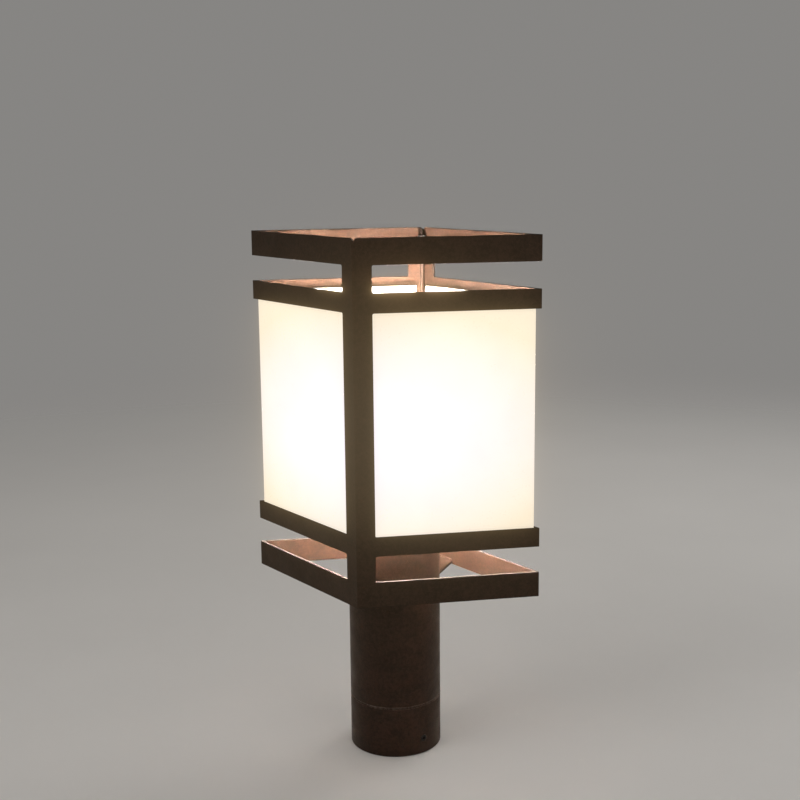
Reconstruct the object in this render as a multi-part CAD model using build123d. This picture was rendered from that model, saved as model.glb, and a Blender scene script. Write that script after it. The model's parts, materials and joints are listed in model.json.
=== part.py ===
from build123d import *
import math
import os

# Plan of the lantern: a rhombus, posts at the two obtuse corners
side = 172.0
near_angle = 117.1
sheet = 2.5
fold_round = 3.0
tip_round = 0.8

# Heights of the frame, from its bottom edge up
end_band = 24.0
end_gap = 24.5
mid_band = 18.0
window = 205.0
post_width = 17.0
cut_round = 1.5
notch_width = 5.0

# Running clearances
slip = 0.3
seat = 0.1
thread = 0.2

# Opal panels, seated half way up the lower middle band
panel = 3.0
panel_start = 9.5
panel_lap = 9.0
tip_gap = 0.6
tip_blunt = 0.6

# Rest clips under the panels
clip = 1.5
clip_width = 16.0
clip_lip = 9.0
clip_leg = 5.0
clip_near = 38.0
clip_far = 128.0

# Corner tie rods, gussets, keepers and nuts
rod_r = 2.0
rod_in = 7.5
gusset = 3.0
gusset_down = 11.0
gusset_reach = 8.2
rod_end = 6.3
nut_flats = 7.0
nut_tall = 3.2
keeper_wall = 1.2
keeper_tall = 12.0
keeper_wing = 15.5
keeper_fin = 1.0
keeper_down = 45.0

# Arms between the tube and the posts
arm_half = 38.0
arm = 3.0
arm_up = 1.0

# Neck tube and post fitter
tube_r = 44.5
tube_wall = 3.0
tube_rise = 57.0
neck_drop = 115.5
fitter = 50.5
fitter_wall = 5.75
spigot = 20.0
stop_lip = 5.0
stop_tall = 4.0
seam_tall = 1.0
seam_deep = 0.8

# Set screws of the fitter
grub_r = 3.0
grub_long = 5.2
grub_up = 15.0
grub_turn = 90.0
grub_key = 3.0
grub_key_deep = 2.6

# Cap on the tube
cap = 3.0
cap_bevel = 1.0
ring_wide = 9.2
ring_tall = 5.0
cap_screw_r = 2.0
cap_head_r = 3.7
cap_head = 2.4
cap_screw_long = 7.0
cap_slot = 1.0

# Stem through the cap
stem_r = 5.0
stem_bore = 3.4
stem_below = 14.0
stem_grip = 6.0
stem_flats = 15.0
stem_nut = 4.0
washer_r = 10.0
washer = 1.2

# Lamp holder
holder_r = 19.5
holder_foot_r = 22.5
holder_foot = 7.0
holder_tall = 40.0
holder_floor = 11.0
holder_bore = 14.6
holder_edge = 1.2
screw_shell = 0.6
screw_shell_in = 9.0
screw_shell_drop = 4.0
contact_r = 4.0
contact = 0.8
button_r = 2.6
button = 3.0

# Lamp
lamp_base_r = 13.1
lamp_base_wall = 0.5
lamp_base_tall = 21.0
lamp_tip_r = 4.6
lamp_tip = 1.4
lamp_cone = 4.6
lamp_neck_r = 12.2
lamp_neck_in = 6.0
lamp_glass = 1.0
lamp_r = 30.0
lamp_tall = 82.0

half = math.radians(near_angle / 2)
sin_h = math.sin(half)
cos_h = math.cos(half)
z0 = fitter + neck_drop
z1 = z0 + end_band
z2 = z1 + end_gap
z3 = z2 + mid_band
z4 = z3 + window
z5 = z4 + mid_band
z6 = z5 + end_gap
z7 = z6 + end_band
near_y = -side * cos_h
bore_r = tube_r - fitter_wall
ring_out = tube_r - tube_wall - slip
ring_in = ring_out - ring_wide
cap_screw_ring = (ring_out + ring_in) / 2
panel_out = sheet + slip
panel_in = panel_out + panel
panel_low = z3 - panel_lap
panel_high = z4 + panel_lap
tube_top = z0 + tube_rise
cap_top = tube_top + cap
arm_low = z0 + arm_up
arm_top = arm_low + arm
gusset_top = z7 - gusset_down
rod_y = near_y + rod_in
holder_low = cap_top + stem_nut
floor_z = holder_low + holder_floor
lamp_low = floor_z + contact + button + seat

on_face = Pos(0, near_y, 0) * Rot(0, 0, 90 - near_angle / 2)


def put(shape, name):
    """Writes one node of the assembly."""
    export_step(shape, f"parts/{name}.step")


def disc(radius, height, low):
    """Upright cylinder standing on a height."""
    return Pos(0, 0, low + height / 2) * Cylinder(radius, height)


def pipe(outer, inner, height, low):
    """Upright tube standing on a height."""
    return disc(outer, height, low) - disc(inner, height, low)


def hexagon(flats, height, low, turn=0.0):
    """Upright hexagonal prism standing on a height."""
    plan = Rot(0, 0, turn) * RegularPolygon(flats / math.sqrt(3), 6)
    return Pos(0, 0, low) * extrude(plan, height)


def rhombus(inset):
    """Plan outline of the lantern, moved in from its outer faces."""
    x = side * sin_h - inset / cos_h
    y = side * cos_h - inset / sin_h
    return Polygon((x, 0), (0, y), (-x, 0), (0, -y), align=None)


def on_plan(along, inset):
    """Plan point of the right front face: along it from the post, in from its outer side."""
    return (along * sin_h - inset * cos_h, near_y + along * cos_h + inset * sin_h)


def four(shape):
    """The right front shape and its three copies on the other faces."""
    return {
        "front_right": shape,
        "front_left": mirror(shape, Plane.YZ),
        "rear_right": mirror(shape, Plane.XZ),
        "rear_left": Rot(0, 0, 180) * shape,
    }


def near_far(shape, name):
    """One piece at the near corner and its copy at the far one."""
    put(shape, f"near_{name}")
    put(Rot(0, 0, 180) * shape, f"far_{name}")


def frame_ring():
    """Whole sheet ring before the openings: rounded folds, eased tips."""
    plan = rhombus(0)
    folds = [v for v in plan.vertices() if abs(v.X) < 1]
    plan = fillet(folds, fold_round)
    tips = [v for v in plan.vertices() if abs(v.Y) < 1]
    plan = fillet(tips, tip_round)
    return Pos(0, 0, z0) * extrude(plan - rhombus(sheet), z7 - z0)


def opening(low, high):
    """Tool for one opening of a face, from the post out past the tip."""
    length = side
    depth = 8 * sheet
    tool = Box(length, depth, high - low)
    ends = [e for e in tool.edges().filter_by(Axis.Y) if e.center().X < 0]
    tool = fillet(ends, cut_round)
    return on_face * Pos(post_width + length / 2, 0, (low + high) / 2) * tool


def fold_notch():
    """Small V cut into the top of the near fold."""
    edge = notch_width / math.sqrt(2)
    return Pos(0, near_y, z7) * Rot(0, 45, 0) * Box(edge, 8 * sheet, edge)


def frame_halves():
    """Folded front and rear frames, mitred together at the two tips."""
    ring = frame_ring()
    for low, high in ((z1, z2), (z3, z4), (z5, z6)):
        for tool in four(opening(low, high)).values():
            ring -= tool
    notch = fold_notch()
    ring -= notch
    ring -= Rot(0, 0, 180) * notch
    big = 2 * side
    keep = Pos(0, -big / 2, z0) * Box(2 * big, big, 3 * (z7 - z0))
    put(ring & keep, "front_frame")
    put(ring - keep, "rear_frame")


def panel_plate():
    """Opal panel of the right front face, mitred and blunted at the tip."""
    reach = (-near_y - tip_gap / 2) / cos_h
    end_out = reach - panel_out * sin_h / cos_h
    end_in = reach - panel_in * sin_h / cos_h
    blunt = panel_out + tip_blunt * cos_h / sin_h
    points = (
        on_plan(panel_start, panel_out),
        on_plan(end_out - tip_blunt, panel_out),
        on_plan(end_out - tip_blunt, blunt),
        on_plan(end_in, panel_in),
        on_plan(panel_start, panel_in),
    )
    plan = Polygon(*points, align=None)
    return Pos(0, 0, panel_low) * extrude(plan, panel_high - panel_low)


def block(along, inset, low, length, depth, height):
    """Box against the right front face."""
    place = Pos(along + length / 2, inset + depth / 2, low + height / 2)
    return on_face * place * Box(length, depth, height)


def rest_clip(along):
    """J-shaped clip on the lower middle band that carries a panel's bottom edge."""
    start = along - clip_width / 2
    ledge_low = panel_low - seat - clip
    reach = panel_in + slip + clip - sheet
    shape = block(start, sheet, ledge_low, clip_width, reach, clip)
    shape += block(start, sheet, ledge_low - clip_leg, clip_width, clip, clip_leg)
    shape += block(start, panel_in + slip, ledge_low, clip_width, clip, clip + clip_lip)
    return shape


def panels_and_rests():
    """Four lift-out panels, each on its own pair of rest clips."""
    for name, shape in four(panel_plate()).items():
        put(shape, f"panel_{name}")
    pair = Compound(children=[rest_clip(clip_near), rest_clip(clip_far)])
    for name, shape in four(pair).items():
        put(shape, f"rests_{name}")


def rod_hole(low, height):
    """Clearance hole for the near tie rod."""
    return Pos(0, rod_y, 0) * disc(rod_r + thread, height, low)


def gusset_plate():
    """Small kite-shaped lug in the fold that holds the rod's upper end."""
    inner = near_y + sheet / sin_h
    right = on_plan(gusset_reach, sheet)
    tip = near_y + gusset_reach / cos_h
    plan = Polygon((0, inner), right, (0, tip), (-right[0], right[1]), align=None)
    low = gusset_top - gusset
    return Pos(0, 0, low) * extrude(plan, gusset) - rod_hole(low, gusset)


def rod_nut(low):
    """Hexagon nut on the near tie rod, flats towards the two faces."""
    nut = hexagon(nut_flats, nut_tall, low, 30) - disc(rod_r + thread, nut_tall, low)
    return Pos(0, rod_y, 0) * nut


def keeper(middle):
    """Spring clip: a sleeve on the rod and two fins behind the panels' ends."""
    low = middle - keeper_tall / 2
    outer = rod_r + thread + keeper_wall
    shape = Pos(0, rod_y, 0) * disc(outer, keeper_tall, low)
    start = rod_in * cos_h + rod_r + thread
    fin = block(start, panel_in + slip, low, keeper_wing - start, keeper_fin, keeper_tall)
    shape += fin
    shape += mirror(fin, Plane.YZ)
    return shape - rod_hole(low, keeper_tall)


def corner_hardware():
    """Tie rods with their gussets, nuts and keepers at the two posts."""
    near_far(gusset_plate(), "gusset")
    rod_top = gusset_top + nut_tall + rod_end
    rod = Pos(0, rod_y, 0) * disc(rod_r, rod_top - arm_low, arm_low)
    near_far(rod, "tie_rod")
    near_far(rod_nut(gusset_top), "top_nut")
    near_far(rod_nut(arm_top), "base_nut")
    near_far(keeper(panel_low + panel_lap / 2), "lower_keeper")
    near_far(keeper(panel_high - keeper_down), "upper_keeper")


def arm_plate():
    """Flat arm from the tube to the near post, cut to the fold."""
    wide = 2 * arm_half
    strip = Pos(0, near_y / 2, 0) * Rectangle(wide, -near_y)
    plan = (rhombus(sheet) & strip) - Circle(tube_r + slip)
    return Pos(0, 0, arm_low) * extrude(plan, arm) - rod_hole(arm_low, arm)


def neck():
    """Neck tube and the ring welded inside its top rim."""
    inner = tube_r - tube_wall
    put(pipe(tube_r, inner, tube_top - fitter, fitter), "neck_tube")
    ring = pipe(ring_out, ring_in, ring_tall, tube_top - ring_tall)
    holes = PolarLocations(cap_screw_ring, 3, 90)
    for place in holes:
        ring -= place * disc(cap_screw_r + thread, ring_tall, tube_top - ring_tall)
    put(ring, "cap_ring")


def grub_place(index):
    """Frame of one set screw: its local z runs out along the radius."""
    turn = grub_turn + 120 * index
    return Rot(0, 0, turn) * Pos(0, 0, grub_up) * Rot(0, 90, 0)


def post_fitter():
    """Collar for the post, with a spigot and stop lip, and its three set screws."""
    body = disc(tube_r, fitter, 0) + disc(ring_out, spigot, fitter)
    body -= disc(bore_r, fitter + spigot - stop_tall, 0)
    body -= disc(bore_r - stop_lip, fitter + spigot, 0)
    low = fitter - seam_tall
    body -= pipe(2 * tube_r, tube_r - seam_deep, seam_tall, low)
    wall_mid = (tube_r + bore_r) / 2
    for index in range(3):
        drill = Pos(0, 0, wall_mid) * Cylinder(grub_r + thread, 2 * (tube_r - bore_r))
        body -= grub_place(index) * drill
        put(grub_place(index) * grub(wall_mid), f"set_screw_{index + 1}")
    put(body, "post_fitter")


def grub(middle):
    """Headless screw with a hexagon socket in its outer end."""
    screw = Pos(0, 0, middle) * Cylinder(grub_r, grub_long)
    key = hexagon(grub_key, grub_key_deep, middle + grub_long / 2 - grub_key_deep)
    return screw - key


def tube_cap():
    """Disc on the tube's rim with holes for the stem and three screws."""
    lid = disc(tube_r, cap, tube_top)
    lid = chamfer(lid.edges().group_by(Axis.Z)[-1], cap_bevel)
    lid -= disc(stem_r + thread, cap, tube_top)
    for index, place in enumerate(PolarLocations(cap_screw_ring, 3, 90)):
        lid -= place * disc(cap_screw_r + thread, cap, tube_top)
        put(place * cap_screw(), f"cap_screw_{index + 1}")
    put(lid, "tube_cap")


def cap_screw():
    """Pan-head screw that holds the cap down on its ring."""
    screw = disc(cap_head_r, cap_head, cap_top)
    screw = fillet(screw.edges().group_by(Axis.Z)[-1], cap_head / 3)
    screw += disc(cap_screw_r, cap_screw_long, cap_top - cap_screw_long)
    slot = Box(3 * cap_head_r, cap_slot, cap_slot)
    return screw - Pos(0, 0, cap_top + cap_head - cap_slot / 2) * slot


def stem():
    """Hollow threaded stem through the cap, with its nuts and washer."""
    low = tube_top - stem_below
    high = holder_low + stem_grip
    put(pipe(stem_r, stem_bore, high - low, low), "stem")
    hole = stem_r + thread
    top = hexagon(stem_flats, stem_nut, cap_top) - disc(hole, stem_nut, cap_top)
    put(top, "stem_top_nut")
    put(pipe(washer_r, hole, washer, tube_top - washer), "stem_washer")
    nut_low = tube_top - washer - stem_nut
    under = hexagon(stem_flats, stem_nut, nut_low) - disc(hole, stem_nut, nut_low)
    put(under, "stem_lock_nut")


def lamp_holder():
    """Porcelain holder with its metal screw shell and centre contact."""
    body = disc(holder_foot_r, holder_foot, holder_low)
    body += disc(holder_r, holder_tall, holder_low)
    rims = [e for e in body.edges().filter_by(GeomType.CIRCLE) if e.center().Z > holder_low + 1]
    body = fillet(rims, holder_edge)
    body -= disc(holder_bore, holder_tall, floor_z)
    body -= disc(stem_r + thread, stem_grip + seat, holder_low)
    put(body, "lamp_holder")
    shell_r = holder_bore - slip
    tall = holder_tall - holder_floor - screw_shell_drop
    shell = pipe(shell_r, shell_r - screw_shell, tall, floor_z)
    shell += pipe(shell_r, screw_shell_in, screw_shell, floor_z)
    put(shell, "screw_shell")
    tab = disc(contact_r, contact, floor_z) + disc(button_r, button, floor_z + contact)
    put(tab, "centre_contact")


def lamp_outline(shrink):
    """Solid of the lamp's glass, taken in all round."""
    low = lamp_low + lamp_tip + lamp_cone + lamp_base_tall - lamp_neck_in
    high = low + lamp_tall - shrink
    neck_r = lamp_neck_r - shrink
    big = lamp_r - shrink
    belly = low + lamp_tall - lamp_r
    shoulder = low + 0.33 * (lamp_tall - lamp_r)
    with BuildPart() as made:
        with BuildSketch(Plane.XZ):
            with BuildLine():
                Line((0, low), (neck_r, low))
                Line((neck_r, low), (neck_r, low + lamp_neck_in))
                Spline(
                    (neck_r, low + lamp_neck_in),
                    (neck_r + 0.2 * (big - neck_r), shoulder),
                    (big, belly),
                    tangents=[(0, 1), (0, 1)],
                )
                ThreePointArc(
                    (big, belly),
                    (big * math.sqrt(0.5), belly + (high - belly) * math.sqrt(0.5)),
                    (0, high),
                )
                Line((0, high), (0, low))
            make_face()
        revolve(axis=Axis.Z)
    return made.part


def lamp():
    """Lamp that lifts out of the holder: glass, screw base, cone and tip."""
    cone_low = lamp_low + lamp_tip
    base_low = cone_low + lamp_cone
    put(disc(lamp_tip_r, lamp_tip, lamp_low), "lamp_tip")
    inner = lamp_base_r - lamp_base_wall
    cone = Pos(0, 0, cone_low + lamp_cone / 2) * Cone(lamp_tip_r, inner - slip, lamp_cone)
    put(cone, "lamp_cone")
    base = pipe(lamp_base_r, inner, lamp_base_tall, base_low)
    base += pipe(lamp_base_r, inner / 2, lamp_base_wall, base_low)
    put(base, "lamp_base")
    put(lamp_outline(0) - lamp_outline(lamp_glass), "lamp_glass")


os.makedirs("parts", exist_ok=True)
frame_halves()
panels_and_rests()
corner_hardware()
near_far(arm_plate(), "arm")
neck()
post_fitter()
tube_cap()
stem()
lamp_holder()
lamp()
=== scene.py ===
"""Post lantern, dressed: eased bronze sheet, lit opal panels, neck and fitter, lamp and corner hardware."""
import json
import math

import bmesh
import bpy
from mathutils import Matrix, Vector


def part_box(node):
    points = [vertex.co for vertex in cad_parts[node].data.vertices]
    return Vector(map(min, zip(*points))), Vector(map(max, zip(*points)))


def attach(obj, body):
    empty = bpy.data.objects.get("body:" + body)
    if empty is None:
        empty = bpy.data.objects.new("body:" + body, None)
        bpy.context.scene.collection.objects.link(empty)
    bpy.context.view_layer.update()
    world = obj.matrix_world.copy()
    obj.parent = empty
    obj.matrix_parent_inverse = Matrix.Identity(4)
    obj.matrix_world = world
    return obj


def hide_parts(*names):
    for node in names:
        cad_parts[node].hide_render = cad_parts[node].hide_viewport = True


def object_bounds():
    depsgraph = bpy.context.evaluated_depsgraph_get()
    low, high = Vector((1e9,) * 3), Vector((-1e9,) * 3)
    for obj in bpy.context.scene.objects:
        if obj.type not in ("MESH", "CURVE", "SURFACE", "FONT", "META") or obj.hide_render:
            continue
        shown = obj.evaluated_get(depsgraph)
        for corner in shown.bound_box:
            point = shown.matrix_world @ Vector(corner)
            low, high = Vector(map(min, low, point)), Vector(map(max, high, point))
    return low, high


bl_info = {
    "name": "Post Lantern",
    "version": (1, 0, 0),
    "blender": (4, 5, 0),
    "location": "View3D > Sidebar > Lantern",
    "description": "Dresses a packed post lantern with its finishes, fasteners, lamp and stage",
    "category": "Object",
}

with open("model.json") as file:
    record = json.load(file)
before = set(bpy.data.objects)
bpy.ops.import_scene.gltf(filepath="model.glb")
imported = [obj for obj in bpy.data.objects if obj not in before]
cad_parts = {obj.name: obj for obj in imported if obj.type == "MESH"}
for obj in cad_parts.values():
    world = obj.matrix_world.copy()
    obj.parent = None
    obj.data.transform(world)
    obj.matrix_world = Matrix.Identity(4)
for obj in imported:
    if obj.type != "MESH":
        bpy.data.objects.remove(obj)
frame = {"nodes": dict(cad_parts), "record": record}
CAD_BOX = [list(corner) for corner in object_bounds()]
NODES = frame["nodes"]
RECORD = frame["record"]
BODY_OF = {node: body for body, nodes in RECORD["behaviour"]["bodies"].items() for node in nodes}
SLOT_OF = {entry["node"]: entry["material_slot"] for entry in RECORD["subparts"]}
FACES = {"front_right": (1, 1), "front_left": (-1, 1), "rear_right": (1, -1), "rear_left": (-1, -1)}
MATERIALS = {}

# Angles: edges sharper than the first are eased, those under the others shade smooth
EASED_OVER = math.radians(26)
ROUND_SMOOTH = math.radians(19)
GRID_SMOOTH = math.radians(28)

# Widths of the eased edges, in metres
PANEL_EASE = 0.00012
SMALL_EASE = 0.0002
SCREW_EASE = 0.00025
ROUND_EASE = 0.0004
SHELL_EASE = 0.0001

# Mending of the solids' meshes: points to merge, faces to join, the halves' joint plane
MERGE = 2e-6
FLAT = math.radians(0.6)
JOINT_NEAR = 1e-5
# The fitter's cross-drilled wall fills badly once its facets are joined
KEEPS_FACETS = ("post_fitter",)
# Sheets whose level faces, above and below, are cut edges
CUT_SHEETS = ("front_frame", "rear_frame")
LEVEL = 0.9

# Rest clips: sheet, places along a face, and their rivets
CLIP = 0.0015
CLIP_PLACES = (0.038, 0.128)
RIVET_SIDE = 0.0045
RIVET_UP = 0.0023

# Threads: crest as a share of the pitch, and the plain length at a rod's tips
CREST = 0.3
ROD_TIP = 0.0005
BASE_PITCH = 0.0036
BASE_DEPTH = 0.0007
BASE_WALL = 0.0002

# Frame bands, from the bottom edge up
END_BAND = 0.024
END_GAP = 0.0245
MID_BAND = 0.018
WINDOW = 0.205

# Welds: how much of a bead stands out, and how far it stops from an end
BEAD_OUT = 0.3
WELD_STOP = 0.001
GUSSET_WELD = (0.0016, 0.0078)

# The glow's centre below the top of the lamp
GLOW_DROP = 0.022

# Camera and soft lights
CAMERA_PLACE = (0.4456, -1.1093, 0.5723)
CAMERA_TURN = math.radians(21.536)
CAMERA_RISE = math.radians(10.777)
CAMERA_ROLL = math.radians(-0.565)
CAMERA_LENS = 57.325
LIGHT_AIM = Vector((0, 0, 0.28))
LIGHTS = (("key", (-1.1, -1.5, 1.5), 1.4, 1.0),
          ("fill", (1.7, -0.9, 0.9), 1.6, 0.45),
          ("rim", (0.6, 1.6, 1.4), 1.2, 0.8))
FLOOR_RADIUS = 5.0
FLOOR_GAP = 0.0002


# Sizes and colours that a user would change

class LanternFinish(bpy.types.PropertyGroup):
    """Tones, glow and edges of the lantern's finish."""

    coat_dark: bpy.props.FloatVectorProperty(
        name="Coat, dark", description="Darker tone of the bronze coat", subtype="COLOR", size=3,
        min=0.0, max=1.0, default=(0.0195, 0.0113, 0.0074))
    coat_warm: bpy.props.FloatVectorProperty(
        name="Coat, warm", description="Warmer tone of the bronze coat", subtype="COLOR", size=3,
        min=0.0, max=1.0, default=(0.0415, 0.0216, 0.0142))
    # Edge tone: partly wear, partly a painted highlight that makes the eased edges read as lit lines
    worn_and_highlight: bpy.props.FloatVectorProperty(
        name="Coat, worn and highlight", description="Rubbed tone along the edges", subtype="COLOR", size=3,
        min=0.0, max=1.0, default=(0.115, 0.084, 0.069))
    cut_edge: bpy.props.FloatVectorProperty(
        name="Cut edge", description="Tone of the frame sheets' cut edges", subtype="COLOR", size=3,
        min=0.0, max=1.0, default=(0.021, 0.0182, 0.0167))
    edge_ease: bpy.props.FloatProperty(
        name="Edge ease", description="Width of the eased sheet edges", default=0.00035,
        min=0.0, max=0.002, unit="LENGTH")
    opal_core: bpy.props.FloatVectorProperty(
        name="Opal, core", description="Glow of a panel nearest the lamp", subtype="COLOR", size=3,
        min=0.0, max=1.0, default=(0.9, 0.875, 0.99))
    opal_rim: bpy.props.FloatVectorProperty(
        name="Opal, rim", description="Glow of a panel at its far corners", subtype="COLOR", size=3,
        min=0.0, max=1.0, default=(1.0, 0.885, 0.7))
    opal_bright: bpy.props.FloatProperty(
        name="Opal brightness", description="Strength of a panel's glow nearest the lamp",
        default=0.84, min=0.0, max=20.0)
    opal_dim: bpy.props.FloatProperty(
        name="Opal dimness", description="Strength of a panel's glow at its far corners",
        default=0.735, min=0.0, max=20.0)
    lamp_colour: bpy.props.FloatVectorProperty(
        name="Lamp colour", description="Colour of the lamp's light", subtype="COLOR", size=3,
        min=0.0, max=1.0, default=(1.0, 0.88, 0.81))
    lamp_power: bpy.props.FloatProperty(
        name="Lamp strength", description="Strength of the lamp's glow", default=1580.0, min=0.0, max=2000.0)


class LanternSizes(bpy.types.PropertyGroup):
    """Sizes of the small pieces that the solids leave plain."""

    plan_side: bpy.props.FloatProperty(
        name="Plan side", description="Length of one face of the plan", default=0.172, unit="LENGTH")
    near_angle: bpy.props.FloatProperty(
        name="Near angle", description="Angle of the plan at the posts",
        default=math.radians(117.1), subtype="ANGLE")
    sheet: bpy.props.FloatProperty(
        name="Sheet", description="Thickness of the frame's sheet", default=0.0025, unit="LENGTH")
    seam_ease: bpy.props.FloatProperty(
        name="Seam ease", description="Width of the eased rims where the neck meets the fitter",
        default=0.0009, unit="LENGTH")
    bead: bpy.props.FloatProperty(
        name="Weld bead", description="Radius of a weld ripple", default=0.0011, unit="LENGTH")
    bead_step: bpy.props.FloatProperty(
        name="Weld step", description="Distance between weld ripples", default=0.0009, unit="LENGTH")
    rivet: bpy.props.FloatProperty(
        name="Rivet", description="Radius of a clip's rivet head", default=0.0016, unit="LENGTH")
    pitch: bpy.props.FloatProperty(
        name="Thread pitch", description="Pitch of the tie rods' thread", default=0.0007, unit="LENGTH")
    thread_long: bpy.props.FloatProperty(
        name="Thread length", description="Length of the thread at a rod's ends",
        default=0.016, unit="LENGTH")


class LanternStage(bpy.types.PropertyGroup):
    """Floor and light of the stage."""

    floor_colour: bpy.props.FloatVectorProperty(
        name="Floor colour", description="Colour of the floor", subtype="COLOR", size=3,
        min=0.0, max=1.0, default=(0.8, 0.775, 0.74))
    room_light: bpy.props.FloatProperty(
        name="Room light", description="Strength of the light from all round",
        default=0.24, min=0.0, max=10.0)
    bloom: bpy.props.FloatProperty(
        name="Bloom", description="Strength of the soft bloom round the lit panels",
        default=0.95, min=0.0, max=2.0)
    key_power: bpy.props.FloatProperty(
        name="Key light", description="Power of the large soft light",
        default=10.0, min=0.0, max=500.0, unit="POWER")


def finish():
    """The finish settings of this scene."""
    return bpy.context.scene.lantern_finish


def sizes():
    """The small sizes of this scene."""
    return bpy.context.scene.lantern_sizes


# Node trees

class Tree:
    """A node tree under construction."""

    def __init__(self, tree):
        self.tree = tree

    def node(self, kind, values=None, **settings):
        """Makes a node, sets it up and links or fills its inputs."""
        made = self.tree.nodes.new(kind)
        for name, value in settings.items():
            setattr(made, name, value)
        for name, value in (values or {}).items():
            socket = made.inputs[name]
            if isinstance(value, bpy.types.NodeSocket):
                self.tree.links.new(value, socket)
            else:
                socket.default_value = value
        return made

    def noise(self, place, scale, detail=4.0, rough=0.5):
        """Fac of a noise texture."""
        return self.node("ShaderNodeTexNoise", {
            "Vector": place, "Scale": scale, "Detail": detail, "Roughness": rough}).outputs["Fac"]

    def ramp(self, value, stops):
        """Colour ramp with stops of (place, colour)."""
        made = self.node("ShaderNodeValToRGB", {"Fac": value})
        row = made.color_ramp.elements
        while len(row) < len(stops):
            row.new(0.5)
        for element, (place, colour) in zip(row, stops):
            element.position = place
            element.color = (*colour, 1.0)
        return made.outputs["Color"]

    def span(self, value, low, high, to_low, to_high):
        """Maps a value from one span to another, clamped."""
        return self.node("ShaderNodeMapRange", {
            "Value": value, "From Min": low, "From Max": high,
            "To Min": to_low, "To Max": to_high}).outputs["Result"]

    def math(self, operation, first, second):
        """One arithmetic step."""
        made = self.node("ShaderNodeMath", operation=operation)
        for socket, value in zip(made.inputs, (first, second)):
            if isinstance(value, bpy.types.NodeSocket):
                self.tree.links.new(value, socket)
            else:
                socket.default_value = value
        return made.outputs["Value"]

    def bump(self, height, strength, distance):
        """Normal from a height."""
        return self.node("ShaderNodeBump", {
            "Height": height, "Strength": strength, "Distance": distance}).outputs["Normal"]

    def blend(self, first, second, share):
        """Two values added, the second with the given share."""
        rest = self.math("MULTIPLY", first, 1.0 - share)
        return self.math("ADD", rest, self.math("MULTIPLY", second, share))


def new_material(name):
    """A material with an empty tree, and its Object coordinates."""
    material = bpy.data.materials.new(name)
    material.use_nodes = True
    material.node_tree.nodes.clear()
    tree = Tree(material.node_tree)
    place = tree.node("ShaderNodeTexCoord").outputs["Object"]
    MATERIALS[name] = material
    return tree, place


def surface(tree, values):
    """Ends a material in one principled shader."""
    shader = tree.node("ShaderNodeBsdfPrincipled", values)
    tree.node("ShaderNodeOutputMaterial", {"Surface": shader.outputs["BSDF"]})


# Materials

def coat_material(name, dark, warm, rough, metal, sheen=0.25):
    """Textured bronze coat: clouded tone, fine grain and a soft uneven sheen."""
    tree, place = new_material(name)
    cloud = tree.noise(place, 55.0, 8.0, 0.68)
    grain = tree.noise(place, 900.0, 3.0, 0.6)
    mottle = tree.noise(place, 320.0, 3.0, 0.65)
    tone = tree.blend(cloud, tree.blend(mottle, grain, 0.45), 0.7)
    surface(tree, {
        "Base Color": tree.ramp(tone, [(0.43, dark), (0.57, warm)]),
        "Roughness": tree.span(tree.noise(place, 60.0, 5.0), 0.3, 0.7, rough - 0.07, rough + 0.1),
        "Metallic": metal,
        "Specular IOR Level": sheen,
        "Specular Tint": (1.0, 0.9, 0.8, 1.0),
        "Normal": tree.bump(grain, 0.34, 0.00035),
    })


def opal_material(name, lamp_place):
    """Opal acrylic with a painted glow, emission in place of the lamp's light shining through the sheet,
    fading from white to cream away from the lamp; the outer side is painted darker than the paler inner side,
    to offset its glow.
    """
    look = finish()
    tree, place = new_material(name)
    squeeze = Vector((0.68, 0.68, 1.0))
    away = tree.node("ShaderNodeMapping", {
        "Vector": place, "Location": -squeeze * lamp_place, "Scale": squeeze}).outputs["Vector"]
    reach = tree.node("ShaderNodeVectorMath", {0: away}, operation="LENGTH").outputs["Value"]
    core, rim, fall = 0.052, 0.123, 1.4
    far = tree.math("POWER", tree.span(reach, core, rim, 0.0, 1.0), fall)
    cloud = tree.span(tree.noise(place, 14.0, 3.0), 0.3, 0.7, 0.96, 1.04)
    strength = tree.math("MULTIPLY", tree.span(far, 0.0, 1.0, look.opal_bright, look.opal_dim), cloud)
    grain = tree.noise(place, 420.0, 2.0)
    way = tree.node("ShaderNodeTexCoord").outputs["Normal"]
    facing = tree.node("ShaderNodeVectorMath", {0: way, 1: place}, operation="DOT_PRODUCT").outputs["Value"]
    # The inner side takes the upper two stops of the ramp; the outer side's darker stops offset its painted
    # glow
    step_up = 0.6
    inner = tree.math("MULTIPLY", tree.math("LESS_THAN", facing, 0.0), step_up)
    tone = tree.math("ADD", tree.span(tree.noise(place, 30.0, 3.0), 0.3, 0.7, 0.1, 0.3), inner)
    surface(tree, {
        "Base Color": tree.ramp(tone, [
            (0.1, (0.3, 0.28, 0.24)), (0.3, (0.33, 0.31, 0.27)),
            (0.7, (0.74, 0.71, 0.67)), (0.9, (0.8, 0.77, 0.73))]),
        "Roughness": tree.span(grain, 0.3, 0.7, 0.26, 0.36),
        # Painted glow: emission in place of the lamp's light through the sheet, fading away from the lamp
        "Emission Color": tree.ramp(far, [(0.0, look.opal_core), (1.0, look.opal_rim)]),
        "Emission Strength": strength,
        "Normal": tree.bump(grain, 0.05, 0.0002),
    })


def lamp_material(name):
    """Frosted lamp glass, lit from inside, dimmer towards its neck."""
    look = finish()
    tree, place = new_material(name)
    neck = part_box("lamp_glass")[0].z
    height = tree.node("ShaderNodeSeparateXYZ", {"Vector": place}).outputs["Z"]
    share = tree.span(height, neck + 0.006, neck + 0.03, 0.25, 1.0)
    frost = tree.noise(place, 800.0, 3.0)
    surface(tree, {
        "Base Color": tree.ramp(frost, [(0.3, (0.86, 0.85, 0.82)), (0.7, (0.93, 0.92, 0.9))]),
        "Roughness": tree.span(frost, 0.3, 0.7, 0.38, 0.5),
        "Emission Color": (*look.lamp_colour, 1.0),
        "Emission Strength": tree.math("MULTIPLY", share, look.lamp_power),
    })


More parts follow.
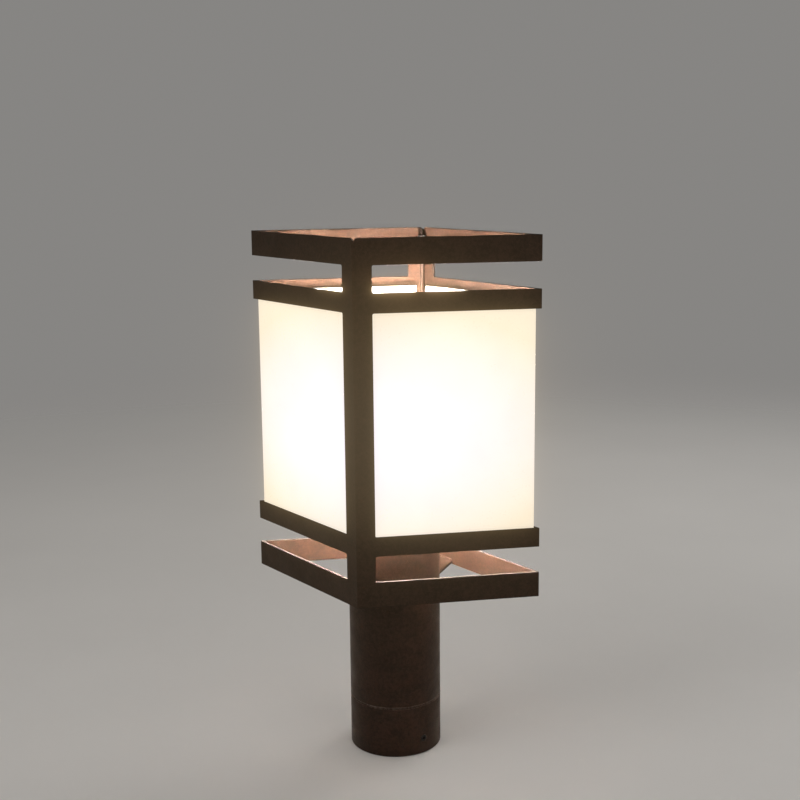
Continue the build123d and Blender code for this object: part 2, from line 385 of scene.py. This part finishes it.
def metal_material(name, dark, light, rough, grain_scale, stretch=(1.0, 1.0, 1.0), metal=1.0):
    """Bare or plated metal: uneven tone and a fine directional grain."""
    tree, place = new_material(name)
    pulled = tree.node("ShaderNodeMapping", {"Vector": place, "Scale": stretch}).outputs["Vector"]
    grain = tree.noise(pulled, grain_scale, 5.0, 0.6)
    stain = tree.noise(place, 90.0, 6.0, 0.62)
    surface(tree, {
        "Base Color": tree.ramp(stain, [(0.34, dark), (0.66, light)]),
        "Roughness": tree.span(grain, 0.3, 0.7, rough - 0.09, rough + 0.1),
        "Metallic": metal,
        "Normal": tree.bump(grain, 0.12, 0.0001),
    })


def porcelain_material(name):
    """White glazed porcelain with a faint cream cloud and glaze waviness."""
    tree, place = new_material(name)
    cloud = tree.noise(place, 40.0, 4.0)
    surface(tree, {
        "Base Color": tree.ramp(cloud, [(0.35, (0.79, 0.76, 0.69)), (0.65, (0.87, 0.85, 0.8))]),
        "Roughness": tree.span(tree.noise(place, 120.0, 3.0), 0.3, 0.7, 0.1, 0.2),
        "Coat Weight": 0.6,
        "Coat Roughness": 0.08,
        "Normal": tree.bump(cloud, 0.05, 0.0004),
    })


def cone_material(name):
    """Black glass insulator of the lamp's base."""
    tree, place = new_material(name)
    cloud = tree.noise(place, 200.0, 4.0)
    surface(tree, {
        "Base Color": tree.ramp(cloud, [(0.3, (0.006, 0.006, 0.007)), (0.7, (0.02, 0.019, 0.02))]),
        "Roughness": tree.span(cloud, 0.3, 0.7, 0.15, 0.32),
    })


def make_materials():
    """All finishes, by name."""
    look = finish()
    low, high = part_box("lamp_glass")
    glow = (low + high) / 2
    glow.z = high.z - GLOW_DROP
    coat_material("bronze coat", look.coat_dark, look.coat_warm, 0.46, 0.55)
    # Eased edges get a lighter, more metallic tone: partly wear, partly a painted highlight
    coat_material("rubbed edge and painted highlight", look.coat_warm, look.worn_and_highlight, 0.36, 0.8)
    coat_material("cut edge", [0.7 * tone for tone in look.cut_edge], look.cut_edge, 0.85, 0.0, sheen=0.0)
    opal_material("lit opal", glow)
    lamp_material("frosted lamp")
    metal_material("zinc plate", (0.4, 0.38, 0.33), (0.62, 0.6, 0.56), 0.34, 600.0, (1.0, 1.0, 0.15))
    coat_material("rod coat", (0.0105, 0.0065, 0.0045), (0.023, 0.0125, 0.0085), 0.6, 0.4)
    metal_material("spring steel", (0.11, 0.1, 0.092), (0.2, 0.185, 0.17), 0.4, 500.0, (1.0, 1.0, 0.1))
    metal_material("black screw", (0.014, 0.013, 0.012), (0.036, 0.033, 0.03), 0.42, 700.0, metal=0.7)
    metal_material("holder brass", (0.5, 0.33, 0.12), (0.72, 0.52, 0.22), 0.3, 700.0)
    metal_material("lamp aluminium", (0.58, 0.58, 0.57), (0.74, 0.74, 0.73), 0.28, 700.0)
    porcelain_material("porcelain")
    cone_material("lamp insulator")


# Meshes

def add_object(name, mesh, *materials):
    """Links a new object at the origin and gives it its materials."""
    made = bpy.data.objects.new(name, mesh)
    bpy.context.scene.collection.objects.link(made)
    for material in materials:
        made.data.materials.append(MATERIALS[material])
    return made


def settle(piece, body, slot, *nodes):
    """Sets a piece on its body in place of the nodes it stands for."""
    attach(piece, body)
    if nodes:
        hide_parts(*nodes)
    return piece


def at_joint(edge):
    """Whether an edge lies in the plane where the two folded halves meet."""
    return all(abs(vert.co.y) < JOINT_NEAR for vert in edge.verts)


def eased_copy(node, ease, steps):
    """Merged copy of a node's solid with its sharp edges eased; eased faces take the second material."""
    made = bmesh.new()
    made.from_mesh(NODES[node].data)
    bmesh.ops.remove_doubles(made, verts=made.verts, dist=MERGE)
    if node not in KEEPS_FACETS:
        bmesh.ops.dissolve_limit(made, angle_limit=FLAT, verts=made.verts, edges=made.edges)
    for face in made.faces:
        face.material_index = int(node in CUT_SHEETS and abs(face.normal.z) > LEVEL)
    edges = [edge for edge in made.edges
             if len(edge.link_faces) == 2 and edge.calc_face_angle(0.0) > EASED_OVER and not at_joint(edge)]
    if ease > 0 and edges:
        bmesh.ops.bevel(made, geom=edges, offset=ease, offset_type="OFFSET", segments=steps, profile=0.5,
                        affect="EDGES", clamp_overlap=False, material=1)
    mesh = bpy.data.meshes.new(node + "_dressed")
    made.to_mesh(mesh)
    made.free()
    return mesh


def dress(node, ease, main, edge, round_piece=False, steps=2):
    """Stands an eased copy of a node in its place."""
    mesh = eased_copy(node, ease, steps)
    if round_piece:
        mesh.shade_smooth()
        mesh.set_sharp_from_angle(angle=ROUND_SMOOTH)
    else:
        mesh.shade_flat()
    piece = add_object(node + "_dressed", mesh, main, edge)
    return settle(piece, BODY_OF[node], SLOT_OF[node], node)


def grid_mesh(name, rings, closed=True):
    """Mesh from rings of points, joined ring to ring; closed also joins the last ring to the first."""
    made = bmesh.new()
    rows = [[made.verts.new(point) for point in ring] for ring in rings]
    count = len(rows[0])
    last = len(rows) if closed else len(rows) - 1
    for i in range(last):
        low, high = rows[i], rows[(i + 1) % len(rows)]
        for j in range(count):
            k = (j + 1) % count
            made.faces.new((low[j], low[k], high[k], high[j]))
    bmesh.ops.remove_doubles(made, verts=made.verts, dist=1e-7)
    bmesh.ops.recalc_face_normals(made, faces=made.faces)
    mesh = bpy.data.meshes.new(name)
    made.to_mesh(mesh)
    made.free()
    mesh.shade_smooth()
    mesh.set_sharp_from_angle(angle=GRID_SMOOTH)
    return mesh


def circle(radius, up, count):
    """Ring of points round the upright axis."""
    turns = [2 * math.pi * step / count for step in range(count)]
    return [Vector((radius * math.cos(turn), radius * math.sin(turn), up)) for turn in turns]


def hex_nut_mesh(name, flats, height, hole):
    """Hexagon nut on the origin: chamfered corners and an eased bore."""
    count = 72
    ease = 0.12 * height
    crown = 0.475 * flats
    chamfer = math.radians(30)
    rings = [[] for _ in range(8)]
    for step in range(count):
        turn = 2 * math.pi * step / count
        corner = (turn % (math.pi / 3)) - math.pi / 6
        reach = flats / 2 / math.cos(corner)
        drop = (reach - crown) * math.tan(chamfer)
        way = Matrix.Rotation(math.radians(-30), 3, "Z") @ Vector((math.cos(turn), math.sin(turn), 0.0))
        spots = ((hole + ease, 0.0), (crown, 0.0), (reach, drop), (reach, height - drop),
                 (crown, height), (hole + ease, height), (hole, height - ease), (hole, ease))
        for ring, (radius, up) in zip(rings, spots):
            ring.append(way * radius + Vector((0, 0, up)))
    return grid_mesh(name, rings)


def threaded_sleeve_mesh(name, radius, depth, pitch, low, high, wall):
    """Rolled screw sleeve: a round-crested helix outside, a plain wall inside, and a turned-in foot."""
    count = 96
    rows_per_turn = 14
    rows = int((high - low) / pitch * rows_per_turn)
    inside = radius - depth - wall
    rings = []
    for row in range(rows + 1):
        up = low + (high - low) * row / rows
        fade = min(1.0, (up - low) / pitch, (high - up) / pitch)
        ring = []
        for step in range(count):
            turn = 2 * math.pi * step / count
            wave = 0.5 - 0.5 * math.cos(2 * math.pi * (up - low) / pitch - turn)
            out = radius - depth * wave * max(0.0, fade)
            ring.append(Vector((out * math.cos(turn), out * math.sin(turn), up)))
        rings.append(ring)
    for up, out in ((high, inside), (low + wall, inside), (low + wall, radius / 2), (low, radius / 2)):
        rings.append(circle(out, up, count))
    return grid_mesh(name, rings)


def rivet_mesh(name, radius):
    """Low domed rivet head on the origin."""
    count = 24
    profile = ((1.0, 0.0), (1.0, 0.15), (0.92, 0.32), (0.7, 0.5), (0.36, 0.6), (0.0, 0.63))
    rings = [[Vector((0, 0, 0))] * count]
    rings.extend(circle(out * radius, up * radius, count) for out, up in profile)
    return grid_mesh(name, rings, closed=False)


# Geometry node groups

def new_group(name, inputs):
    """A geometry node group with named inputs, and its input and output nodes."""
    group = bpy.data.node_groups.new(name, "GeometryNodeTree")
    face = group.interface
    face.new_socket(name="Geometry", in_out="INPUT", socket_type="NodeSocketGeometry")
    for label, kind, value in inputs:
        socket = face.new_socket(name=label, in_out="INPUT", socket_type=kind)
        if value is not None:
            socket.default_value = value
    face.new_socket(name="Geometry", in_out="OUTPUT", socket_type="NodeSocketGeometry")
    tree = Tree(group)
    return group, tree, tree.node("NodeGroupInput").outputs


def close_group(tree, geometry, material, smooth=True):
    """Ends a group: realised, with its material, and smooth where the shape is round."""
    done = tree.node("GeometryNodeRealizeInstances", {"Geometry": geometry}).outputs["Geometry"]
    if smooth:
        done = tree.node("GeometryNodeSetShadeSmooth", {"Geometry": done}).outputs["Geometry"]
    done = tree.node("GeometryNodeSetMaterial", {"Geometry": done, "Material": material}).outputs["Geometry"]
    tree.node("NodeGroupOutput", {"Geometry": done})


def bead_group():
    """Weld bead: overlapping flattened ripples along every path of the mesh."""
    group, tree, given = new_group("Weld bead", (
        ("Ripple radius", "NodeSocketFloat", 0.001), ("Ripple step", "NodeSocketFloat", 0.0009),
        ("Material", "NodeSocketMaterial", None)))
    path = tree.node("GeometryNodeMeshToCurve", {"Mesh": given["Geometry"]}).outputs["Curve"]
    spots = tree.node("GeometryNodeCurveToPoints", {
        "Curve": path, "Length": given["Ripple step"]}, mode="LENGTH")
    ripple = tree.node("GeometryNodeMeshUVSphere", {
        "Segments": 10, "Rings": 6, "Radius": given["Ripple radius"]})
    set_out = tree.node("GeometryNodeInstanceOnPoints", {
        "Points": spots.outputs["Points"], "Instance": ripple.outputs["Mesh"],
        "Rotation": spots.outputs["Rotation"], "Scale": (1.0, 1.0, 0.8)})
    close_group(tree, set_out.outputs["Instances"], given["Material"])
    return group


def fastener_group():
    """Sets one fastener on every point of the mesh, turned by the point's own angles."""
    group, tree, given = new_group("Fasteners", (
        ("Fastener", "NodeSocketObject", None), ("Material", "NodeSocketMaterial", None)))
    turn = tree.node("GeometryNodeInputNamedAttribute", {"Name": "turn"}, data_type="FLOAT_VECTOR")
    spin = tree.node("FunctionNodeEulerToRotation", {"Euler": turn.outputs["Attribute"]}).outputs["Rotation"]
    model = tree.node("GeometryNodeObjectInfo", {"Object": given["Fastener"]}).outputs["Geometry"]
    set_out = tree.node("GeometryNodeInstanceOnPoints", {
        "Points": given["Geometry"], "Instance": model, "Rotation": spin})
    close_group(tree, set_out.outputs["Instances"], given["Material"], smooth=False)
    return group


def rod_group():
    """Tie rod: a round bar along the mesh's path, with a helix wound on each end."""
    group, tree, given = new_group("Tie rod", (
        ("Radius", "NodeSocketFloat", 0.002), ("Pitch", "NodeSocketFloat", 0.0007),
        ("Thread length", "NodeSocketFloat", 0.016), ("Foot", "NodeSocketVector", (0.0, 0.0, 0.0)),
        ("Head", "NodeSocketVector", (0.0, 0.0, 0.1)), ("Material", "NodeSocketMaterial", None)))
    path = tree.node("GeometryNodeMeshToCurve", {"Mesh": given["Geometry"]}).outputs["Curve"]
    bar_line = tree.node("GeometryNodeCurvePrimitiveCircle", {"Resolution": 32, "Radius": given["Radius"]})
    bar = tree.node("GeometryNodeCurveToMesh", {
        "Curve": path, "Profile Curve": bar_line.outputs["Curve"], "Fill Caps": True}).outputs["Mesh"]
    turns = tree.math("DIVIDE", given["Thread length"], given["Pitch"])
    crest = tree.math("MULTIPLY", given["Pitch"], CREST)
    wound = tree.node("GeometryNodeCurveSpiral", {
        "Resolution": 24, "Rotations": turns, "Start Radius": given["Radius"], "End Radius": given["Radius"],
        "Height": given["Thread length"]}).outputs["Curve"]
    ridge = tree.node("GeometryNodeCurvePrimitiveCircle", {"Resolution": 4, "Radius": crest}).outputs["Curve"]
    helix = tree.node("GeometryNodeCurveToMesh", {
        "Curve": wound, "Profile Curve": ridge, "Fill Caps": True}).outputs["Mesh"]
    joined = tree.node("GeometryNodeJoinGeometry", {"Geometry": bar})
    for end in ("Foot", "Head"):
        set_out = tree.node("GeometryNodeTransform", {"Geometry": helix, "Translation": given[end]})
        tree.tree.links.new(set_out.outputs["Geometry"], joined.inputs["Geometry"])
    close_group(tree, joined.outputs["Geometry"], given["Material"])
    return group


def grown(name, mesh, group, values):
    """Runs a group on a mesh and returns the result as a plain object."""
    seed = bpy.data.objects.new(name + "_seed", mesh)
    bpy.context.scene.collection.objects.link(seed)
    step = seed.modifiers.new(group.name, "NODES")
    step.node_group = group
    for item in group.interface.items_tree:
        if item.item_type == "SOCKET" and item.in_out == "INPUT" and item.name in values:
            step[item.identifier] = values[item.name]
    bpy.context.view_layer.update()
    made = bpy.data.meshes.new_from_object(seed.evaluated_get(bpy.context.evaluated_depsgraph_get()))
    seed.modifiers.remove(step)
    bpy.data.objects.remove(seed)
    made.name = name
    if not made.polygons:
        raise RuntimeError(f"{name} came out empty")
    piece = bpy.data.objects.new(name, made)
    bpy.context.scene.collection.objects.link(piece)
    return piece


def path_mesh(name, paths):
    """Edge mesh of several open paths."""
    points, edges = [], []
    for path in paths:
        start = len(points)
        points.extend(path)
        edges.extend((i, i + 1) for i in range(start, len(points) - 1))
    mesh = bpy.data.meshes.new(name)
    mesh.from_pydata([tuple(p) for p in points], edges, [])
    return mesh


def spot_mesh(name, spots):
    """Point mesh with a turn for each point, from (place, outward way)."""
    mesh = bpy.data.meshes.new(name)
    mesh.from_pydata([tuple(place) for place, _ in spots], [], [])
    turns = mesh.attributes.new("turn", "FLOAT_VECTOR", "POINT")
    for entry, (_, way) in zip(turns.data, spots):
        entry.vector = Vector((0, 0, 1)).rotation_difference(Vector(way)).to_euler()
    return mesh


# Places on the plan

def plan():
    """Half angle's sine and cosine at the posts, and the near post's corner."""
    half = sizes().near_angle / 2
    return math.sin(half), math.cos(half), -sizes().plan_side * math.cos(half)


def on_face(face, along, inset, up):
    """Point on a face: along it from its post, in from its outer side, at a height."""
    sine, cosine, corner = plan()
    across, deep = FACES[face]
    x = along * sine - inset * cosine
    y = corner + along * cosine + inset * sine
    return Vector((across * x, deep * y, up))


def inward(face):
    """Inward way of a face."""
    sine, cosine, _ = plan()
    across, deep = FACES[face]
    return Vector((-across * cosine, deep * sine, 0.0))


# Operators

class LANTERN_OT_finishes(bpy.types.Operator):
    """Makes every finish of the lantern."""

    bl_idname = "lantern.finishes"
    bl_label = "Finishes"

    def execute(self, context):
        make_materials()
        return {"FINISHED"}


class LANTERN_OT_frame_sheets(bpy.types.Operator):
    """Eases and coats the folded frames, arms and gussets."""

    bl_idname = "lantern.frame_sheets"
    bl_label = "Frame Sheets"

    def execute(self, context):
        ease = finish().edge_ease
        for node in CUT_SHEETS:
            dress(node, ease, "bronze coat", "cut edge")
        for node in ("near_arm", "far_arm", "near_gusset", "far_gusset"):
            dress(node, ease, "bronze coat", "rubbed edge and painted highlight")
        return {"FINISHED"}


class LANTERN_OT_panels(bpy.types.Operator):
    """Makes the four lit opal panels."""

    bl_idname = "lantern.panels"
    bl_label = "Opal Panels"

    def execute(self, context):
        for face in FACES:
            dress("panel_" + face, PANEL_EASE, "lit opal", "lit opal")
        return {"FINISHED"}


class LANTERN_OT_neck(bpy.types.Operator):
    """Eases and coats the neck tube, its cap and ring, and the post fitter."""

    bl_idname = "lantern.neck"
    bl_label = "Neck and Fitter"

    def execute(self, context):
        for node in ("neck_tube", "post_fitter"):
            dress(node, sizes().seam_ease, "bronze coat", "rubbed edge and painted highlight", round_piece=True, steps=3)
        for node in ("tube_cap", "cap_ring"):
            dress(node, ROUND_EASE, "bronze coat", "rubbed edge and painted highlight", round_piece=True, steps=3)
        for number in (1, 2, 3):
            dress(f"set_screw_{number}", SCREW_EASE, "black screw", "black screw", round_piece=True)
        for number in (1, 2, 3):
            dress(f"cap_screw_{number}", SMALL_EASE, "zinc plate", "zinc plate", round_piece=True)
        return {"FINISHED"}


class LANTERN_OT_clips(bpy.types.Operator):
    """Eases the rest clips and keepers and rivets the clips to the bands."""

    bl_idname = "lantern.clips"
    bl_label = "Clips and Keepers"

    def execute(self, context):
        for face in FACES:
            dress("rests_" + face, SMALL_EASE, "spring steel", "spring steel")
        for end in ("near", "far"):
            for level in ("lower", "upper"):
                dress(f"{end}_{level}_keeper", SMALL_EASE, "spring steel", "spring steel")
        self.rivets()
        return {"FINISHED"}

    def rivets(self):
        """Two rivet heads on the leg of every rest clip."""
        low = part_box("rests_front_right")[0].z
        spots = []
        for face in FACES:
            for along in CLIP_PLACES:
                for side in (-RIVET_SIDE, RIVET_SIDE):
                    place = on_face(face, along + side, sizes().sheet + CLIP, low + RIVET_UP)
                    spots.append((place, inward(face)))
        head = add_object("rivet_model", rivet_mesh("rivet_model", sizes().rivet))
        piece = grown("clip_rivets", spot_mesh("rivet_spots", spots), fastener_group(),
                      {"Fastener": head, "Material": MATERIALS["zinc plate"]})
        bpy.data.objects.remove(head)
        settle(piece, "lantern", "zinc_steel")


class LANTERN_OT_rods(bpy.types.Operator):
    """Makes the threaded tie rods and their nuts."""

    bl_idname = "lantern.rods"
    bl_label = "Tie Rods and Nuts"

    def execute(self, context):
        group = rod_group()
        for end in ("near", "far"):
            self.rod(group, end + "_tie_rod")
        nuts = ("near_top_nut", "far_top_nut", "near_base_nut", "far_base_nut")
        spots = []
        for node in nuts:
            low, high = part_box(node)
            spots.append((Vector(((low.x + high.x) / 2, (low.y + high.y) / 2, low.z)), (0, 0, 1)))
        low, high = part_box("near_top_nut")
        bore = (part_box("near_tie_rod")[1].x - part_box("near_tie_rod")[0].x) / 2
        model = add_object("nut_model", hex_nut_mesh("nut_model", high.x - low.x, high.z - low.z, bore))
        piece = grown("rod_nuts", spot_mesh("nut_spots", spots), fastener_group(),
                      {"Fastener": model, "Material": MATERIALS["zinc plate"]})
        bpy.data.objects.remove(model)
        settle(piece, "lantern", "zinc_steel", *nuts)
        return {"FINISHED"}

    def rod(self, group, node):
        """One bar with a thread on each end, inside its plain solid."""
        low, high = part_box(node)
        x, y = (low.x + high.x) / 2, (low.y + high.y) / 2
        radius = (high.x - low.x) / 2 - CREST * sizes().pitch
        long = sizes().thread_long
        mesh = path_mesh(node + "_line", [[(x, y, low.z), (x, y, high.z)]])
        piece = grown(node + "_bar", mesh, group, {
            "Radius": radius, "Pitch": sizes().pitch, "Thread length": long,
            "Foot": (x, y, low.z + ROD_TIP), "Head": (x, y, high.z - long - ROD_TIP),
            "Material": MATERIALS["rod coat"]})
        settle(piece, "lantern", SLOT_OF[node], node)


class LANTERN_OT_stem(bpy.types.Operator):
    """Makes the hollow stem with its nuts and washer."""

    bl_idname = "lantern.stem"
    bl_label = "Stem"

    def execute(self, context):
        slip = 0.0001
        for node in ("stem", "stem_washer"):
            dress(node, SMALL_EASE, "zinc plate", "zinc plate", round_piece=True)
        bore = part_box("stem")[1].x + slip
        for node in ("stem_top_nut", "stem_lock_nut"):
            low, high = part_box(node)
            mesh = hex_nut_mesh(node + "_turned", high.y - low.y, high.z - low.z, bore)
            mesh.transform(Matrix.Translation((0, 0, low.z)))
            settle(add_object(node + "_turned", mesh, "zinc plate"), "lantern", SLOT_OF[node], node)
        return {"FINISHED"}


class LANTERN_OT_holder(bpy.types.Operator):
    """Glazes the lamp holder and finishes its screw shell and contact."""

    bl_idname = "lantern.holder"
    bl_label = "Lamp Holder"

    def execute(self, context):
        dress("lamp_holder", ROUND_EASE, "porcelain", "porcelain", round_piece=True, steps=3)
        for node in ("screw_shell", "centre_contact"):
            dress(node, SHELL_EASE, "holder brass", "holder brass", round_piece=True)
        return {"FINISHED"}


class LANTERN_OT_lamp(bpy.types.Operator):
    """Makes the frosted lamp and its rolled screw base."""

    bl_idname = "lantern.lamp"
    bl_label = "Lamp"

    def execute(self, context):
        dress("lamp_glass", 0.0, "frosted lamp", "frosted lamp", round_piece=True)
        dress("lamp_cone", SMALL_EASE, "lamp insulator", "lamp insulator", round_piece=True)
        dress("lamp_tip", ROUND_EASE, "lamp aluminium", "lamp aluminium", round_piece=True)
        low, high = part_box("lamp_base")
        mesh = threaded_sleeve_mesh(
            "lamp_base_rolled", high.x, BASE_DEPTH, BASE_PITCH, low.z, high.z, BASE_WALL)
        piece = add_object("lamp_base_rolled", mesh, "lamp aluminium")
        settle(piece, "lamp", SLOT_OF["lamp_base"], "lamp_base")
        return {"FINISHED"}


class LANTERN_OT_welds(bpy.types.Operator):
    """Lays the weld beads at the arms, the tips and the gussets."""

    bl_idname = "lantern.welds"
    bl_label = "Welds"

    def execute(self, context):
        piece = grown("weld_beads", path_mesh("weld_paths", self.paths()), bead_group(), {
            "Ripple radius": sizes().bead, "Ripple step": sizes().bead_step,
            "Material": MATERIALS["bronze coat"]})
        settle(piece, "lantern", "bronze_coat")
        return {"FINISHED"}

    def paths(self):
        """Centre lines of all beads."""
        sine, cosine, corner = plan()
        lift = BEAD_OUT * sizes().bead
        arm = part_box("near_arm")[1]
        up = arm.z + lift
        reach = arm.x - WELD_STOP
        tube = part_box("neck_tube")[1].x
        slip, short, half = 0.0003, 0.02, 12
        swing = math.asin(arm.x / (tube + slip)) - short
        lines = []
        for turn in (-1, 1):
            ring = [math.radians(90) * turn + swing * (step / half - 1) for step in range(2 * half + 1)]
            lines.append([Vector((tube * math.cos(angle), tube * math.sin(angle), up)) for angle in ring])
            fold = turn * (-corner - sizes().sheet / sine)
            end = fold - turn * reach * cosine / sine
            lines.append([Vector((-reach, end, up)), Vector((0, fold, up)), Vector((reach, end, up))])
        tip = sizes().plan_side * sine - sizes().sheet / cosine
        for level, tall in self.bands():
            for x in (-tip, tip):
                lines.append([Vector((x, 0, level + WELD_STOP)), Vector((x, 0, level + tall - WELD_STOP))])
        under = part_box("near_gusset")[0].z - lift
        for face in FACES:
            lines.append([on_face(face, along, sizes().sheet, under) for along in GUSSET_WELD])
        return lines

    def bands(self):
        """Foot and height of each band of the frame."""
        low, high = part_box("front_frame")
        lower = low.z + END_BAND + END_GAP
        return [(low.z, END_BAND), (lower, MID_BAND),
                (lower + MID_BAND + WINDOW, MID_BAND), (high.z - END_BAND, END_BAND)]


class LANTERN_OT_stage(bpy.types.Operator):
    """Sets the floor, the soft lights and the camera."""

    bl_idname = "lantern.stage"
    bl_label = "Stage"

    def execute(self, context):
        self.floor(context.scene.lantern_stage)
        self.lights(context.scene.lantern_stage)
        self.camera(context.scene)
        self.bloom(context.scene)
        context.scene.view_settings.view_transform = "Standard"
        return {"FINISHED"}

    def floor(self, stage):
        """Wide pale floor that fades into the room."""
        tree, place = new_material("floor")
        away = tree.node("ShaderNodeVectorMath", {0: place}, operation="LENGTH").outputs["Value"]
        cloud = tree.noise(place, 3.0, 4.0)
        light = [min(1.0, 1.05 * v) for v in stage.floor_colour]
        plain = tree.node("ShaderNodeBsdfPrincipled", {
            "Base Color": tree.ramp(cloud, [(0.3, tuple(stage.floor_colour)), (0.7, light)]),
            "Roughness": 0.55, "Specular IOR Level": 0.25})
        clear = tree.node("ShaderNodeBsdfTransparent")
        fade = tree.node("ShaderNodeMapRange", {"Value": away, "From Min": 0.5, "From Max": 2.6},
                         interpolation_type="SMOOTHSTEP")
        mixed = tree.node("ShaderNodeMixShader", {
            0: fade.outputs["Result"], 1: plain.outputs["BSDF"], 2: clear.outputs["BSDF"]})
        tree.node("ShaderNodeOutputMaterial", {"Surface": mixed.outputs["Shader"]})
        mesh = bpy.data.meshes.new("floor")
        made = bmesh.new()
        bmesh.ops.create_circle(made, cap_ends=True, segments=96, radius=FLOOR_RADIUS)
        made.to_mesh(mesh)
        made.free()
        mesh.transform(Matrix.Translation((0, 0, CAD_BOX[0][2] - FLOOR_GAP)))
        piece = add_object("floor", mesh, "floor")
        self.spare(piece)

    def spare(self, piece):
        """Keeps the lamp's own light off a piece, since the bars throw hard patches there."""
        spared = bpy.data.collections.new("floor only")
        spared.objects.link(piece)
        spared.collection_objects[0].light_linking.link_state = "EXCLUDE"
        bpy.data.objects["lamp_glass_dressed"].light_linking.receiver_collection = spared

    def lights(self, stage):
        """Large soft lights round the lantern and a faint even room light."""
        world = bpy.data.worlds.new("room")
        world.use_nodes = True
        back = world.node_tree.nodes["Background"]
        back.inputs["Color"].default_value = (1.0, 0.975, 0.94, 1.0)
        back.inputs["Strength"].default_value = stage.room_light
        bpy.context.scene.world = world
        for name, place, size, share in LIGHTS:
            data = bpy.data.lights.new(name, "AREA")
            data.energy = stage.key_power * share
            data.size = size
            made = bpy.data.objects.new(name, data)
            made.location = place
            made.rotation_euler = (LIGHT_AIM - Vector(place)).to_track_quat("-Z", "Y").to_euler()
            bpy.context.scene.collection.objects.link(made)

    def bloom(self, scene):
        """Soft warm bloom round the lit panels, as a lens gives."""
        scene.use_nodes = True
        scene.node_tree.nodes.clear()
        tree = Tree(scene.node_tree)
        layers = tree.node("CompositorNodeRLayers")
        glare = tree.node("CompositorNodeGlare", {
            "Image": layers.outputs["Image"], "Threshold": 0.64, "Strength": scene.lantern_stage.bloom,
            "Maximum": 1.4, "Clamp": True, "Size": 0.4, "Tint": (1.0, 0.78, 0.42, 1.0),
        }, glare_type="BLOOM", quality="HIGH")
        tree.node("CompositorNodeComposite", {"Image": glare.outputs["Image"]})

    def camera(self, scene):
        """Camera on the near post, a little to its right and above."""
        data = bpy.data.cameras.new("view")
        data.sensor_width = 36.0
        data.lens = CAMERA_LENS
        made = bpy.data.objects.new("view", data)
        right = Vector((math.cos(CAMERA_TURN), math.sin(CAMERA_TURN), 0.0))
        level = Vector((right.y, -right.x, 0.0))
        back = level * math.cos(CAMERA_RISE) + Vector((0, 0, math.sin(CAMERA_RISE)))
        across = right * math.cos(CAMERA_ROLL) + back.cross(right) * math.sin(CAMERA_ROLL)
        turned = Matrix((across, back.cross(across), back)).transposed().to_4x4()
        made.matrix_world = Matrix.Translation(CAMERA_PLACE) @ turned
        scene.collection.objects.link(made)
        scene.camera = made


class LANTERN_PT_panel(bpy.types.Panel):
    """Sidebar panel with the lantern's settings and steps."""

    bl_idname = "LANTERN_PT_panel"
    bl_label = "Post Lantern"
    bl_space_type = "VIEW_3D"
    bl_region_type = "UI"
    bl_category = "Lantern"

    def draw(self, context):
        layout = self.layout
        for group in (context.scene.lantern_finish, context.scene.lantern_sizes, context.scene.lantern_stage):
            box = layout.box()
            for name in group.__annotations__:
                box.prop(group, name)
        for step in STEPS:
            layout.operator(step.bl_idname)


GROUPS = (("lantern_finish", LanternFinish), ("lantern_sizes", LanternSizes), ("lantern_stage", LanternStage))
STEPS = (
    LANTERN_OT_finishes, LANTERN_OT_frame_sheets, LANTERN_OT_panels, LANTERN_OT_neck, LANTERN_OT_clips,
    LANTERN_OT_rods, LANTERN_OT_stem, LANTERN_OT_holder, LANTERN_OT_lamp, LANTERN_OT_welds, LANTERN_OT_stage)


def register():
    """Registers the settings, steps and panel."""
    for name, group in GROUPS:
        bpy.utils.register_class(group)
        setattr(bpy.types.Scene, name, bpy.props.PointerProperty(type=group))
    for step in (*STEPS, LANTERN_PT_panel):
        bpy.utils.register_class(step)


def unregister():
    """Removes the settings, steps and panel."""
    for step in (LANTERN_PT_panel, *reversed(STEPS)):
        bpy.utils.unregister_class(step)
    for name, group in reversed(GROUPS):
        delattr(bpy.types.Scene, name)
        bpy.utils.unregister_class(group)


def main():
    """Runs every step in order."""
    register()
    for step in STEPS:
        family, name = step.bl_idname.split(".")
        getattr(getattr(bpy.ops, family), name)()
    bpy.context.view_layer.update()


if __name__ == "__main__":
    main()
